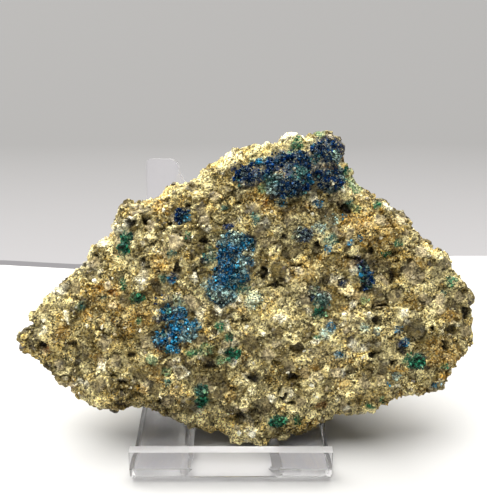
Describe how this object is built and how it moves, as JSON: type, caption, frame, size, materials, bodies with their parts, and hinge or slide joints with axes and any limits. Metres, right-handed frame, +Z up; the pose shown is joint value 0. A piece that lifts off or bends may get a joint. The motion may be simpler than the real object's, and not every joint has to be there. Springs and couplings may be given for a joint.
{
  "type": "azurite specimen on an easel",
  "caption": "Coarse pale sandstone crusted with blue azurite and green malachite, leaning on a small clear acrylic easel for display.",
  "frame": {"origin": "on the floor, under the middle of the whole object's box", "axes": "+Z up, +X along the easel's front rail to the viewer's right, +Y from the front rail towards the easel's back"},
  "size_m": [0.1192, 0.067, 0.0784],
  "materials": {
    "acrylic": "clear polished acrylic sheet",
    "stone": "rough coarse-grained sandstone, cream, brown and rust",
    "azurite": "sparkling deep blue crystalline crust",
    "malachite": "fine green crystalline tufts"
  },
  "bodies": {
    "root": {"acrylic_easel": "acrylic", "sandstone_matrix": "stone", "azurite_crest_crust": "azurite", "azurite_centre_crust": "azurite", "azurite_left_crust": "azurite", "azurite_right_knot": "azurite", "azurite_east_knot": "azurite", "azurite_upper_knot": "azurite", "azurite_west_knot": "azurite", "malachite_west_tuft": "malachite", "malachite_left_tuft": "malachite", "malachite_right_tuft": "malachite", "malachite_lower_tuft": "malachite", "malachite_south_tuft": "malachite", "malachite_foot_tuft": "malachite", "malachite_east_tuft": "malachite"}
  },
  "joints": []
}
